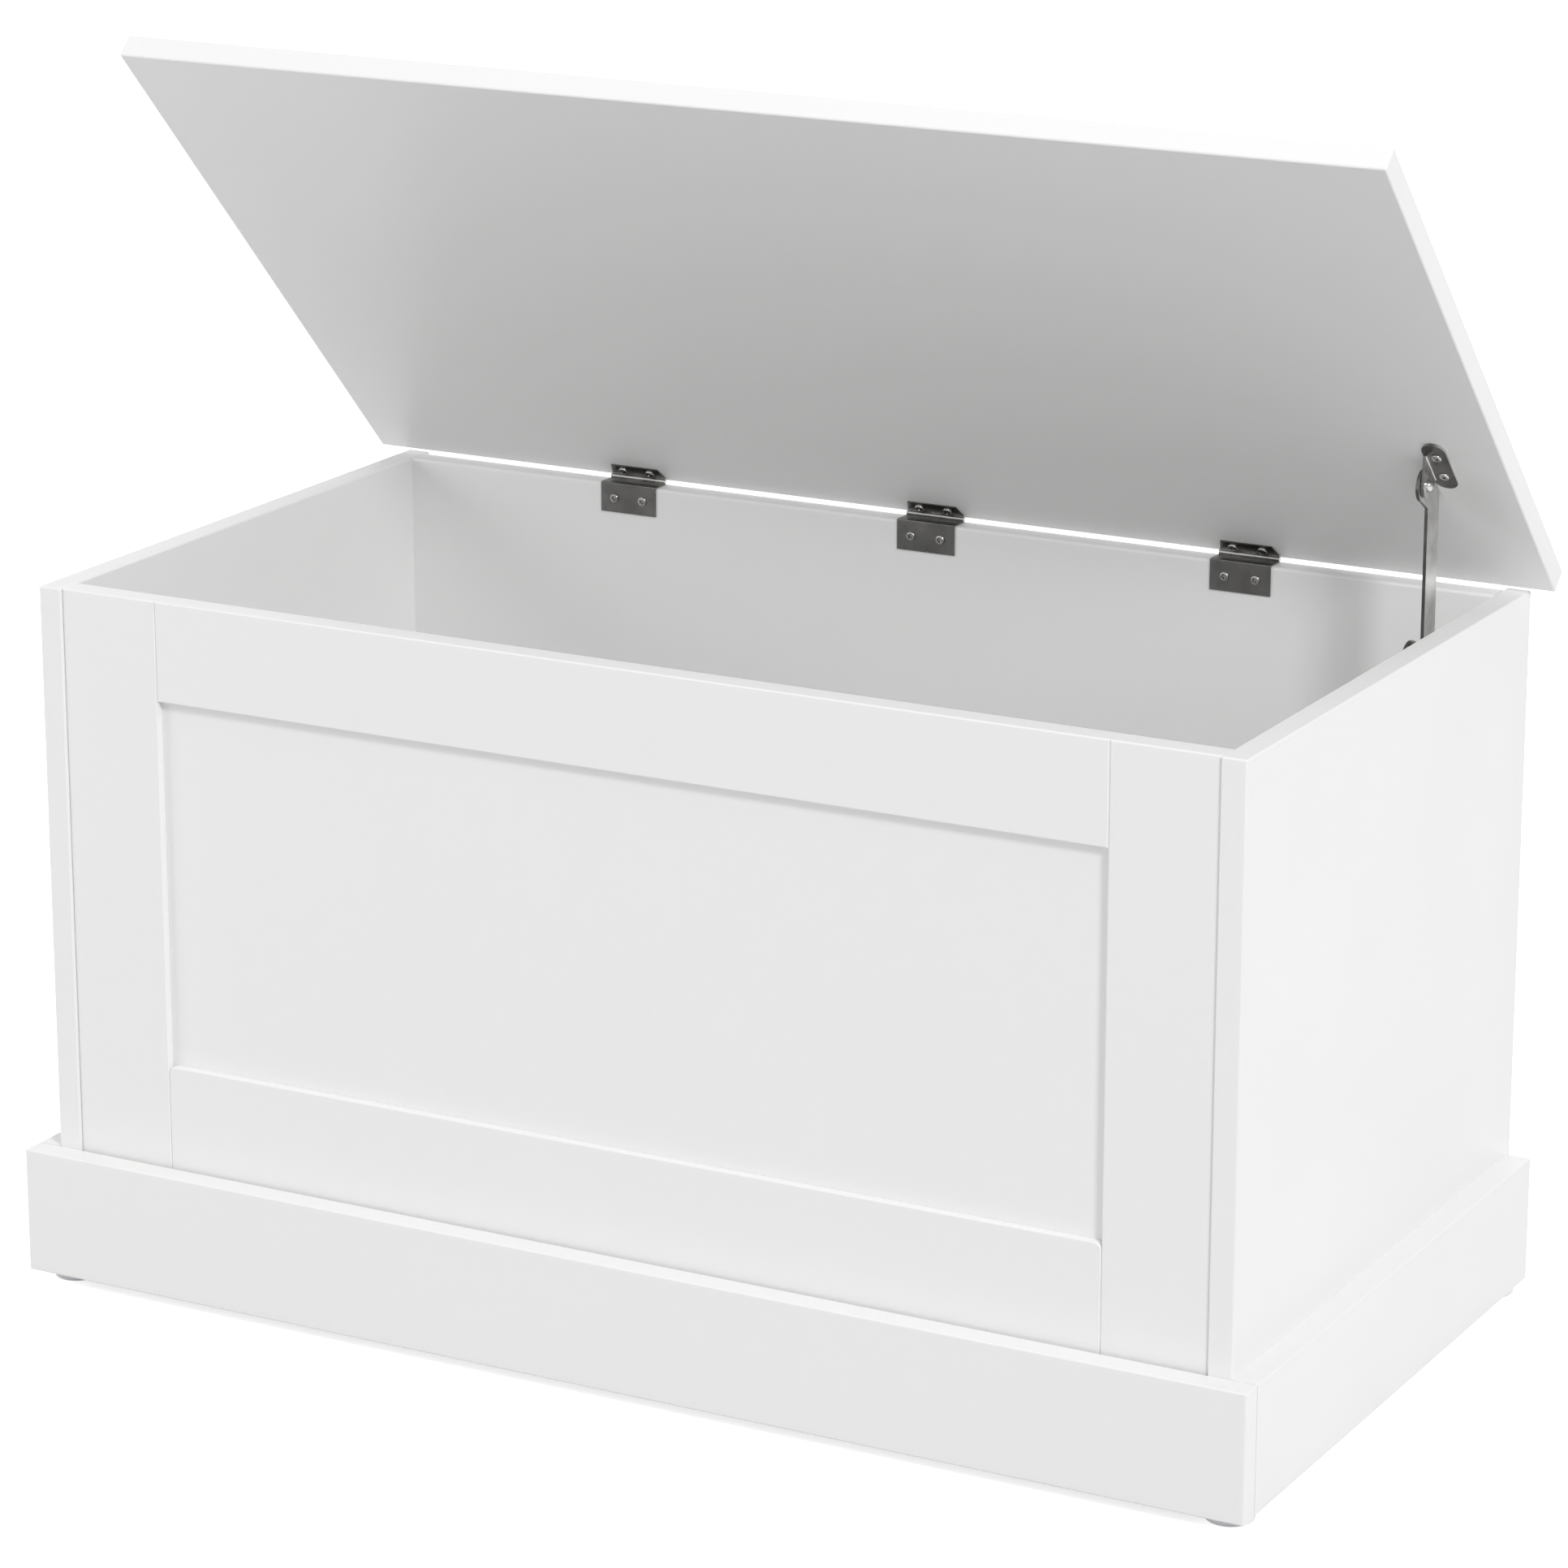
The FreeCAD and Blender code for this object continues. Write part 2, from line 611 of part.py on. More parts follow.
# Plinth boards
plinth_front = board("plinth_front", ("plinth_width", "board", "plinth_height"),
                     ("-plinth_width / 2", "front", "base"),
                     [("edge_round", ("left front", "right front", "left rear", "right rear", "front high",
                                      "rear high", "left high", "right high", "front low"))])
node(cut(plinth_front, drills["plinth_front_board"]), "plinth_front_board")
for sign, side in ((-1, "left"), (1, "right")):
    name = f"plinth_{side}_board"
    low_x = "outer_half" if sign > 0 else "-plinth_width / 2"
    plinth_side = board(f"plinth_{side}", ("board", "plinth_side_length", "plinth_height"),
                        (low_x, "side_front", "base"),
                        [("edge_round", (f"{side} high", f"{side} low", f"{side} rear", "rear high"))])
    node(cut(plinth_side, drills[name]), name)

# Lid
lid = board("lid_board", ("lid_width", "lid_depth", "lid_thickness"),
            ("-(lid_width) / 2", "lid_rear_overhang - (lid_depth)", "axis_rise"),
            [("edge_round", ("left high", "right high", "front high", "rear high",
                             "left low", "right low", "front low", "rear low",
                             "left front", "right front", "left rear", "right rear"))],
            on_lid=True)
node(cut(lid, lid_drills), "lid_panel")

# Hinges: five knuckles, three on the body leaf and two on the lid leaf
for side, hinge_x in HINGES:
    left = f"{hinge_x} - hinge_width / 2"
    knuckles = {0: [], 1: []}
    notches = {0: [], 1: []}
    for step in range(5):
        owner = step % 2
        start = f"{left} + {step} * knuckle_length"
        gap = "knuckle_gap / 2"
        inset = gap if owner else "0"
        knuckles[owner].append((f"{start} + {inset}", f"knuckle_length - 2 * ({inset})"))
        notch_start = f"{start} - {gap}" if not owner else start
        notch_width = "knuckle_length + knuckle_gap" if not owner else "knuckle_length"
        notches[1 - owner].append((notch_start, notch_width))
    drop = board(f"{side}_hinge_drop", ("hinge_width", "leaf_thickness", "body_leaf_drop + leaf_thickness"),
                 (left, "back_front - leaf_thickness", "top - body_leaf_drop"),
                 [("leaf_bend_round", ("front high",))])
    bend = block("hinge_width", "leaf_top_reach", "leaf_thickness", left, "back_front", "top")
    tubes = [rod("knuckle_radius", length, start, "axis_back", "axis_high", "+x")
             for start, length in knuckles[0]]
    slots = [block(width, "knuckle_clearance + knuckle_radius + overrun", "2 * overrun", start,
                   "axis_back - knuckle_radius - knuckle_clearance", "top - overrun / 2")
             for start, width in notches[0]]
    bore = rod("pin_radius + pin_clearance", "hinge_width + 2 * overrun", f"{left} - overrun",
               "axis_back", "axis_high", "+x")
    holes = [screw_hole(f"{hinge_x} + {sign} * body_leaf_screw_spacing / 2", "back_front - leaf_thickness",
                        "top - body_leaf_screw_drop", "+y") for sign in (-1, 1)]
    leaf = cut(joined([drop, bend]), slots)
    node(cut(joined([leaf] + tubes), [bore] + holes), f"{side}_hinge_body_leaf")

    corners = (("0", "0"), ("hinge_width - 2 * lid_leaf_taper", "0"),
               ("hinge_width - lid_leaf_taper", "lid_leaf_reach"), ("-lid_leaf_taper", "lid_leaf_reach"))
    plate = board(f"{side}_hinge_lid_plate", ("hinge_width", "lid_leaf_reach", "leaf_thickness"),
                  (f"{left} + lid_leaf_taper", "-lid_leaf_reach", "axis_rise - leaf_thickness"),
                  on_lid=True, corners=corners)
    tubes = [rod("knuckle_radius", length, start, "0", "0", "+x", True) for start, length in knuckles[1]]
    slots = [block(width, "knuckle_clearance + knuckle_radius + overrun", "2 * overrun", start,
                   "-knuckle_radius - knuckle_clearance", "axis_rise - leaf_thickness - overrun / 2", True)
             for start, width in notches[1]]
    bore = rod("pin_radius + pin_clearance", "hinge_width + 2 * overrun", f"{left} - overrun",
               "0", "0", "+x", True)
    holes = [screw_hole(f"{hinge_x} + {sign} * lid_leaf_screw_spacing / 2", "-lid_leaf_screw_reach",
                        "axis_rise - leaf_thickness", "+z", True) for sign in (-1, 1)]
    leaf = cut(plate, slots)
    node(cut(joined([leaf] + tubes), [bore] + holes), f"{side}_hinge_lid_leaf")
    node(rod("pin_radius", "hinge_width", left, "axis_back", "axis_high", "+x"), f"{side}_hinge_pin")

# Stay: base plate, hub bush and pivot rivet on the right side
plate = board("stay_base_blank", ("base_plate_thickness", "base_plate_depth", "base_plate_height"),
              ("inner_half - base_plate_thickness", "base_plate_back", "base_plate_low"),
              [("base_plate_round", ("front low", "front high", "rear low", "rear high"))])
pivot = ("stay_pivot_back", "stay_pivot_high", "-x")
pivot_hole = rod("pivot_rivet_radius + pin_clearance", "base_plate_thickness + hub_length + 2 * overrun",
                 "inner_half + overrun", *pivot)
node(cut(plate, base_drills + [pivot_hole]), "stay_base_plate")
bush = rod("hub_radius", "hub_length", "inner_half - base_plate_thickness", *pivot)
bush_hole = rod("pivot_rivet_radius + pin_clearance", "base_plate_thickness + hub_length + 2 * overrun",
                "inner_half + overrun", *pivot)
node(cut(bush, [bush_hole]), "stay_hub_bush")
pivot_shank = rod("pivot_rivet_radius", "ear_inset + stay_gap", "inner_half", *pivot)
pivot_head = rod("knee_head_radius", "rivet_head_height", "ear_side - stay_gap", *pivot)
node(joined([pivot_shank, pivot_head]), "stay_pivot_rivet")

# Stay: rivets of the knee and of the lid bracket
knee = ("knee_back", "knee_high", "-x")
knee_outer = rod("rivet_head_radius", "rivet_head_height",
                 "ear_side + lever_thickness + rivet_head_height", *knee)
knee_shank = rod("rivet_radius", "lever_thickness + link_thickness + 2 * stay_gap",
                 "ear_side + lever_thickness", *knee)
knee_inner = rod("knee_head_radius", "rivet_head_height", "link_side - stay_gap", *knee)
node(joined([knee_outer, knee_shank, knee_inner]), "stay_knee_rivet")
ear_pivot = ("-ear_pivot_reach", "ear_pivot_low", "-x", True)
ear_outer = rod("rivet_head_radius", "rivet_head_height",
                "ear_side + ear_thickness + rivet_head_height", *ear_pivot)
ear_shank = rod("rivet_radius", "ear_thickness + link_thickness + 2 * stay_gap",
                "ear_side + ear_thickness", *ear_pivot)
ear_inner = rod("ear_head_radius", "ear_head_height", "link_side - stay_gap", *ear_pivot)
node(joined([ear_outer, ear_shank, ear_inner]), "stay_lid_rivet")

# Stay: plates cut from sheet. Their outlines lie in the plane across the chest, as (back, up).
lid_turn = math.radians(size("lid_angle"))
axis_rise = size("knuckle_radius") + size("knuckle_clearance")


def opened(back, up):
    """A point of the lid's frame as it stands in the open pose, counted from the hinge line."""
    return (back * math.cos(lid_turn) + up * math.sin(lid_turn),
            up * math.cos(lid_turn) - back * math.sin(lid_turn))


def sheet_plate(faces, thickness):
    """Flat faces joined into one outline and given the sheet's thickness towards the right."""
    slabs = [face.extrude(FreeCAD.Vector(thickness, 0, 0)) for face in faces]
    return slabs[0].multiFuse(slabs[1:]).removeSplitter()


def disc(centre, radius):
    """A round end of a plate."""
    ring = Part.Circle(FreeCAD.Vector(0, *centre), FreeCAD.Vector(1, 0, 0), radius)
    return Part.Face(Part.Wire(ring.toShape()))


def patch(points):
    """A straight-sided stretch of a plate."""
    return Part.Face(Part.makePolygon([FreeCAD.Vector(0, *point) for point in points + points[:1]]))


def around(centre, radius, angle):
    """A point on a round end."""
    return (centre[0] + radius * math.cos(angle), centre[1] + radius * math.sin(angle))


def tapered(first, first_radius, second, second_radius):
    """A bar with round ends and straight edges that touch both."""
    run = (second[0] - first[0], second[1] - first[1])
    lean = math.asin((first_radius - second_radius) / math.hypot(*run))
    heading = math.atan2(run[1], run[0])
    points = [around(first, first_radius, heading + math.pi / 2 - lean),
              around(second, second_radius, heading + math.pi / 2 - lean),
              around(second, second_radius, heading - math.pi / 2 + lean),
              around(first, first_radius, heading - math.pi / 2 + lean)]
    return [patch(points), disc(first, first_radius), disc(second, second_radius)]


def feature(name, shape, spot, turn="+z", on_lid=False):
    """A shape made from the sheet's sizes, bound to its place."""
    piece = doc.addObject("Part::Feature", name)
    piece.Shape = shape
    return place(piece, *spot, turn, on_lid)


# Lever from the pivot to the knee
knee_from_pivot = (size("stay_pivot_reach") - size("knee_reach"), size("stay_pivot_drop") - size("knee_drop"))
lever_faces = tapered((0, 0), size("lever_pivot_radius"), knee_from_pivot, size("lever_knee_radius"))
lever = feature("stay_lever_blank", sheet_plate(lever_faces, size("lever_thickness")),
                ("ear_side", "stay_pivot_back", "stay_pivot_high"))
lever_holes = [
    rod("pivot_rivet_radius + pin_clearance", "lever_thickness + 2 * overrun",
        "ear_side + lever_thickness + overrun", *pivot),
    rod("rivet_radius + pin_clearance", "lever_thickness + 2 * overrun",
        "ear_side + lever_thickness + overrun", *knee)]
node(cut(lever, lever_holes), "stay_lever")

# Link from the knee to the lid: an upright bar with both eyes in front of it; its top end is cut parallel
# to the lid's underside
ear_eye = opened(-size("ear_pivot_reach"), axis_rise - size("ear_pivot_drop"))
knee_eye = (-size("knee_reach") - ear_eye[0], -size("knee_drop") - ear_eye[1])
bar_front = -size("link_front_reach") - ear_eye[0]
bar_rear = bar_front + size("link_width")
head_radius = size("link_head_radius")
knee_radius = size("link_knee_radius")
lid_normal = math.pi / 2 - lid_turn
crest = around((0, 0), head_radius, lid_normal)
bar_rear_top = crest[1] - (bar_rear - crest[0]) * math.tan(lid_turn)
head_low = around((0, 0), head_radius, lid_normal + math.pi)
bar_front_top = head_low[1] - size("link_head_jog")
knee_high_point = around(knee_eye, knee_radius, math.radians(size("link_web_angle")))
bar_front_low = knee_high_point[1] + size("link_knee_jog")
knee_low_point = around(knee_eye, knee_radius, -lid_normal)
bar_rear_low = knee_low_point[1] + size("link_knee_jog")
link_faces = [
    patch([crest, (bar_rear, bar_rear_top), (bar_rear, bar_rear_low), knee_low_point, knee_high_point,
           (bar_front, bar_front_low), (bar_front, bar_front_top), head_low]),
    disc((0, 0), head_radius),
    disc(knee_eye, knee_radius)]
link = feature("stay_link_blank", sheet_plate(link_faces, size("link_thickness")),
               ("link_side", "-ear_pivot_reach", "ear_pivot_low"), "upright", True)
link_holes = [
    rod("rivet_radius + pin_clearance", "link_thickness + 2 * overrun",
        "link_side + link_thickness + overrun", *ear_pivot),
    rod("rivet_radius + knee_clearance", "link_thickness + 2 * overrun",
        "link_side + link_thickness + overrun", *knee)]
node(cut(link, link_holes), "stay_link")

# Lid bracket: a flange under the lid with a bent ear
flange = board("stay_bracket_flange", ("ear_inset - flange_side_gap", "flange_length", "ear_thickness"),
               ("ear_side", "-flange_start - flange_length", "axis_rise - ear_thickness"),
               [("flange_round", ("left front", "left rear", "right front", "right rear"))], on_lid=True)
ear_eye_drop = -size("ear_pivot_drop")
ear_points = [(-size("ear_fold_start"), 0), (-size("ear_fold_end"), 0)]
ear_tip = (-size("ear_pivot_reach"), ear_eye_drop)
ear_radius = size("ear_radius")
ear_faces = [
    patch(ear_points + [around(ear_tip, ear_radius, math.pi + lid_turn),
                        around(ear_tip, ear_radius, -lid_turn / 2)]),
    disc(ear_tip, ear_radius)]
ear = feature("stay_bracket_ear", sheet_plate(ear_faces, size("ear_thickness")),
              ("ear_side", "0", "axis_rise"), on_lid=True)
ear_hole = rod("rivet_radius + pin_clearance", "ear_thickness + 2 * overrun",
               "ear_side + ear_thickness + overrun", *ear_pivot)
blank = joined([flange, ear])
doc.recompute()
to_flange = flange.Placement.inverse()
tiny = blank.Shape.BoundBox.DiagonalLength * TOUCH_SHARE
inner_bend = [
    number for number, edge in enumerate(blank.Shape.Edges, 1)
    if all(abs(spot.x - size("ear_thickness")) < tiny and abs(spot.z) < tiny
           for spot in (to_flange.multVec(end.Point) for end in edge.Vertexes))]
bend = doc.addObject("Part::Fillet", "stay_bracket_bend")
bend.Base = blank
bend.Edges = [(number, size("flange_bend_round"), size("flange_bend_round")) for number in inner_bend]
node(cut(bend, bracket_drills + [ear_hole]), "stay_lid_bracket")

doc.recompute()
for item in doc.Objects:
    if "Invalid" in item.State or "Error" in item.State:
        raise RuntimeError(f"{item.Label} failed: {item.State}")
for piece in nodes:
    if piece.Shape.isNull() or not piece.Shape.isValid() or not piece.Shape.Solids:
        raise RuntimeError(f"{piece.Label} has no sound shape")

os.makedirs("parts", exist_ok=True)
for piece in nodes:
    piece.Shape.exportStep(os.path.join("parts", f"{piece.Label}.step"))
print(len(nodes), "sub-parts")
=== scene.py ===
import json
import math

import bmesh
import bpy
from mathutils import Matrix, Vector


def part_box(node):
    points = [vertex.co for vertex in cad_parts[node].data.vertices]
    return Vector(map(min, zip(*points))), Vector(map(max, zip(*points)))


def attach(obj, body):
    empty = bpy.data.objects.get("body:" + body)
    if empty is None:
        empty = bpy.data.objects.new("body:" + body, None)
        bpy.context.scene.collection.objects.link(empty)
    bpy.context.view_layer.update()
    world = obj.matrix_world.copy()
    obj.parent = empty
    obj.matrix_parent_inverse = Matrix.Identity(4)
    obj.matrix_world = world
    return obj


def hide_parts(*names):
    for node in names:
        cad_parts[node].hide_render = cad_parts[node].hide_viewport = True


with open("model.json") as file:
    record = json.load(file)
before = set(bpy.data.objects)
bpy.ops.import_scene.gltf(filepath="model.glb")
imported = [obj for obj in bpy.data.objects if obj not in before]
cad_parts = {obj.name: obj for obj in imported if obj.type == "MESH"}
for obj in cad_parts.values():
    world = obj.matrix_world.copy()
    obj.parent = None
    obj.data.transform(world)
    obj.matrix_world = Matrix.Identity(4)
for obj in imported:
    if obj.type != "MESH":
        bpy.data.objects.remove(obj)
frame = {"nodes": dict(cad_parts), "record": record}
nodes = frame["nodes"]
body_of_node = {n: b for b, names in frame["record"]["behaviour"]["bodies"].items() for n in names}
slots = {s["node"]: s["material_slot"] for s in frame["record"]["subparts"]}
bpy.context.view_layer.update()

# Colours of the finishes, some of them darkened or brightened as painted light where noted
LACQUER_WHITE = (0.875, 0.875, 0.873)
# Nickel darkened below its plating's own colour, as a painted dark reflection of the surroundings
NICKEL_PAINTED_DARK = (0.2, 0.197, 0.19)
# Brighter nickel painted along the hinge barrels as a highlight
NICKEL_PAINTED_HIGHLIGHT = (0.5, 0.495, 0.48)
BRIGHT_STEEL = (0.52, 0.515, 0.5)
SCREW_STEEL = (0.42, 0.415, 0.4)
ARM_FACE = (0.56, 0.555, 0.54)
# Dark for the punched edges and, as painted shade, for every other face that doesn't look along X
ARM_EDGE_AND_SHADE = (0.15, 0.148, 0.144)
ZINC = (0.6, 0.6, 0.61)
PLASTIC = (0.92, 0.91, 0.96)
BEECH_DARK = (0.62, 0.42, 0.25)
BEECH_LIGHT = (0.76, 0.58, 0.38)

# Least and greatest roughness of a finish
LACQUER_GLOSS = (0.34, 0.42)
SATIN_GLOSS = (0.27, 0.32)
BRIGHT_GLOSS = (0.16, 0.2)
SCREW_GLOSS = (0.13, 0.17)

# Distances from the hinge line, in metres, at which the painted highlight along the barrels starts and is
# full
HIGHLIGHT_START = 0.0019
HIGHLIGHT_FULL = 0.0015

# The lid's angle above level at rest, and the way its upper side faces there
LID_ANGLE = math.radians(46.35)
LID_UP = Vector((0, math.sin(LID_ANGLE), math.cos(LID_ANGLE)))

# Pan-head screws: lengths in metres, the head's rounding in shares of its radius and height, turns in radians
PAN_RADIUS = 0.00298
PAN_HEIGHT = 0.0014
PAN_ROUND = ((0, 0), (0.6, 0.02), (0.78, 0.1), (0.91, 0.28), (0.98, 0.55), (1, 0.8), (1, 1))
PAN_SHANK = 0.00148
PAN_POINT = 0.001
PAN_CROSS_REACH = 0.66 * PAN_RADIUS
PAN_CROSS_WIDTH = 0.17 * PAN_RADIUS
PAN_CROSS_DEPTH = 0.75 * PAN_HEIGHT
PAN_FIRST_TURN = 0.5
PAN_NEXT_TURN = 1.9

# Cam locks: lengths in metres, depths from the board's surface, turns in radians
CAM_RADIUS = 0.00742
CAM_FLAT = 0.9 * CAM_RADIUS
CAM_FACE_DEPTH = 0.0002
CAM_EDGE_DEPTH = 0.0007
CAM_DEPTH = 0.012
CAM_CROSS_REACH = 0.62 * CAM_RADIUS
CAM_CROSS_WIDTH = 0.13 * CAM_RADIUS
CAM_CROSS_DEPTH = 0.0035
CAM_NEXT_TURN = 0.35

# Radius and height, in metres, of the round outer head on the rivet of the lid bracket
LID_RIVET_HEAD = (0.0036, 0.0032)

# Share of a cross cutter's width and reach that is left at its lower end
CROSS_TAPER = 0.55

# Edges that bend more than this stay sharp
SMOOTH_ANGLE = math.radians(35)

# Lengths, in metres, under which points are one, a step in radius is none, places agree and radii agree
WELD = 1e-6
NO_STEP = 1e-4
SAME_PLACE = 1e-5
SAME_RADIUS = 2e-5

# Decimals to which the circles of a rivet are rounded
RING_DECIMALS = 5

# Corners of a square round the origin, in order
SQUARE = ((-1, -1), (1, -1), (1, 1), (-1, 1))

# Floor and room: half the floor's length in metres, its grey as it lights and as it is seen, and strengths
FLOOR_REACH = 30
FLOOR_LIGHTING = 0.66
FLOOR_SEEN = 0.9
FLOOR_GLOW = 0.65
ROOM_WHITE = (1, 1, 1)
ROOM_LIGHTING = 0.4
ROOM_SEEN = 1.0

# The point that the lamps are aimed at, in metres
LIGHT_AIM = Vector((0, 0, 0.3))

# Camera: lens and sensor in millimetres, place in metres, dip below the horizon and turn in degrees
CAMERA_LENS = 128.575
CAMERA_SENSOR = 36
CAMERA_PLACE = (1.50261, -2.76257, 1.23455)
CAMERA_DIP = 16.3475
CAMERA_TURN = 28.497


# Materials

def opaque(colour):
    """A colour with full alpha."""
    return (*colour, 1)


def grey(level):
    """A grey with full alpha."""
    return (level, level, level, 1)


def material(name, **values):
    """A principled material with the named sockets set, its tree and its shader."""
    made = bpy.data.materials.new(name)
    made.use_nodes = True
    shader = made.node_tree.nodes["Principled BSDF"]
    for socket, value in values.items():
        shader.inputs[socket.replace("_", " ")].default_value = value
    return made, made.node_tree, shader


def add(tree, kind, **values):
    """A node with its properties, or its sockets by name, set."""
    made = tree.nodes.new(kind)
    for key, value in values.items():
        if hasattr(made, key):
            setattr(made, key, value)
        else:
            made.inputs[key.replace("_", " ")].default_value = value
    return made


def object_noise(tree, scale, detail, stretch=(1, 1, 1)):
    """A socket with noise in the part's own coordinates."""
    place = add(tree, "ShaderNodeTexCoord")
    fit = add(tree, "ShaderNodeMapping", Scale=stretch)
    noise = add(tree, "ShaderNodeTexNoise", Scale=scale, Detail=detail)
    tree.links.new(place.outputs["Object"], fit.inputs["Vector"])
    tree.links.new(fit.outputs["Vector"], noise.inputs["Vector"])
    return noise.outputs["Fac"]


def ramp(tree, source, low, high, start=0.3, end=0.7):
    """A socket that goes from low to high as the source goes from start to end."""
    spread = add(tree, "ShaderNodeMapRange", From_Min=start, From_Max=end, To_Min=low, To_Max=high)
    tree.links.new(source, spread.inputs["Value"])
    return spread.outputs["Result"]


def two_tone(tree, share, first, second):
    """A socket that goes from the first colour to the second as the share goes from zero to one."""
    blend = add(tree, "ShaderNodeMix", data_type="RGBA", A=opaque(first), B=opaque(second))
    tree.links.new(share, blend.inputs["Factor"])
    return blend.outputs["Result"]


def bump(tree, shader, height, strength, distance):
    """Fine relief from a socket that gives its height."""
    relief = add(tree, "ShaderNodeBump", Strength=strength, Distance=distance)
    tree.links.new(height, relief.inputs["Height"])
    tree.links.new(relief.outputs["Normal"], shader.inputs["Normal"])


def white_lacquer():
    """Sprayed white lacquer with a soft gloss that varies a little and a fine peel."""
    made, tree, shader = material("white_lacquer", Base_Color=opaque(LACQUER_WHITE), Specular_IOR_Level=0.45)
    sheen = object_noise(tree, scale=9, detail=2)
    peel = object_noise(tree, scale=420, detail=3)
    tree.links.new(ramp(tree, sheen, *LACQUER_GLOSS), shader.inputs["Roughness"])
    bump(tree, shader, peel, strength=0.1, distance=0.0003)
    return made


def plated(name, gloss=SATIN_GLOSS):
    """Plated metal with a fine grain and faint clouds, and the socket that takes its colour."""
    made, tree, shader = material(name, Metallic=1.0)
    grain = object_noise(tree, scale=600, detail=3, stretch=(1, 1, 0.3))
    tree.links.new(ramp(tree, grain, *gloss), shader.inputs["Roughness"])
    clouds = ramp(tree, object_noise(tree, scale=55, detail=2), low=0.8, high=1.25)
    tint = add(tree, "ShaderNodeMix", data_type="RGBA", blend_type="MULTIPLY", Factor=1)
    tree.links.new(clouds, tint.inputs["B"])
    tree.links.new(tint.outputs["Result"], shader.inputs["Base Color"])
    return made, tint.inputs["A"]


def plated_steel(name, colour, gloss=SATIN_GLOSS):
    """Plated steel of one colour."""
    made, plating = plated(name, gloss)
    plating.default_value = opaque(colour)
    return made


def leaf_steel(name, leaf, barrel_highlight):
    """Plated steel with a highlight painted bright on the barrel round the hinge line."""
    made, plating = plated(name)
    tree = made.node_tree
    low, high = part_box("centre_hinge_pin")
    middle = (low + high) / 2
    place = add(tree, "ShaderNodeTexCoord")
    across = add(tree, "ShaderNodeVectorMath", operation="MULTIPLY_ADD")
    across.inputs[1].default_value = (0, 1, 1)
    across.inputs[2].default_value = (0, -middle.y, -middle.z)
    reach = add(tree, "ShaderNodeVectorMath", operation="LENGTH")
    tree.links.new(place.outputs["Object"], across.inputs[0])
    tree.links.new(across.outputs["Vector"], reach.inputs[0])
    # Painted highlight: the colour turns brighter close to the hinge line
    painted_highlight = ramp(tree, reach.outputs["Value"], low=0, high=1, start=HIGHLIGHT_START, end=HIGHLIGHT_FULL)
    tree.links.new(two_tone(tree, painted_highlight, leaf, barrel_highlight), plating)
    return made


def punched_and_shaded_steel(name, face, edge):
    """Plated steel that is darker on every face not facing along X than on its flat sides: duller punched
    edges, and painted shade on flat faces such as the bracket's flange.
    """
    made, plating = plated(name)
    tree = made.node_tree
    place = add(tree, "ShaderNodeTexCoord")
    split = add(tree, "ShaderNodeSeparateXYZ")
    # Faces that don't look along X take the darker colour: duller punched edges, and painted shade on flat
    # faces like the bracket's flange
    flat = add(tree, "ShaderNodeMath", operation="ABSOLUTE")
    tree.links.new(place.outputs["Normal"], split.inputs["Vector"])
    tree.links.new(split.outputs["X"], flat.inputs[0])
    tree.links.new(two_tone(tree, flat.outputs["Value"], edge, face), plating)
    return made


def zinc():
    """Cast zinc with a fine grain."""
    made, tree, shader = material("zinc_cast", Base_Color=opaque(ZINC), Metallic=1.0, Roughness=0.42)
    bump(tree, shader, object_noise(tree, scale=1400, detail=3), strength=0.12, distance=0.0001)
    return made


def glide_plastic():
    """Pale plastic with a very fine grain."""
    made, tree, shader = material("glide_plastic", Base_Color=opaque(PLASTIC), Roughness=0.45)
    bump(tree, shader, object_noise(tree, scale=1800, detail=2), strength=0.06, distance=0.0001)
    return made


def beech():
    """Bare beech whose grain runs along X."""
    made, tree, shader = material("beech", Roughness=0.6)
    grain = object_noise(tree, scale=160, detail=4, stretch=(0.1, 1, 1))
    tones = add(tree, "ShaderNodeValToRGB")
    for element, colour in zip(tones.color_ramp.elements, (BEECH_DARK, BEECH_LIGHT)):
        element.color = opaque(colour)
    tree.links.new(grain, tones.inputs["Fac"])
    tree.links.new(tones.outputs["Color"], shader.inputs["Base Color"])
    return made


slot_finishes = {
    "white_board": white_lacquer(),
    # The nickel parts take the darkened nickel, a painted dark reflection
    "nickel_steel": plated_steel("nickel_painted_dark", NICKEL_PAINTED_DARK),
    "zinc": zinc(),
    "glide_plastic": glide_plastic(),
    "beech": beech(),
}
bright_steel = plated_steel("bright_steel", BRIGHT_STEEL, BRIGHT_GLOSS)
screw_steel = plated_steel("screw_steel", SCREW_STEEL, SCREW_GLOSS)
arm_steel = punched_and_shaded_steel("arm_steel", face=ARM_FACE, edge=ARM_EDGE_AND_SHADE)
hinge_steel = leaf_steel("hinge_steel", leaf=NICKEL_PAINTED_DARK, barrel_highlight=NICKEL_PAINTED_HIGHLIGHT)


def finish_of(name):
    """The material of a node: some of the steel has its own, and the rest has that of its slot."""
    if name in ("stay_link", "stay_lever", "stay_lid_bracket"):
        return arm_steel
    if name.endswith("_leaf"):
        return hinge_steel
    if slots[name] == "nickel_steel" and "screw" in name:
        return screw_steel
    if slots[name] == "nickel_steel" and ("rivet" in name or "pin" in name):
        return bright_steel
    return slot_finishes[slots[name]]


for name, thing in nodes.items():
    thing.data.materials.clear()
    thing.data.materials.append(finish_of(name))


# Screws, rivets and cam locks with their drives and domes

def put(name, data):
    """An object in the scene."""
    thing = bpy.data.objects.new(name, data)
    bpy.context.scene.collection.objects.link(thing)
    return thing


def kept_mesh(mesh, name):
    """A mesh under construction as mesh data."""
    made = bpy.data.meshes.new(name)
    mesh.to_mesh(made)
    mesh.free()
    return made


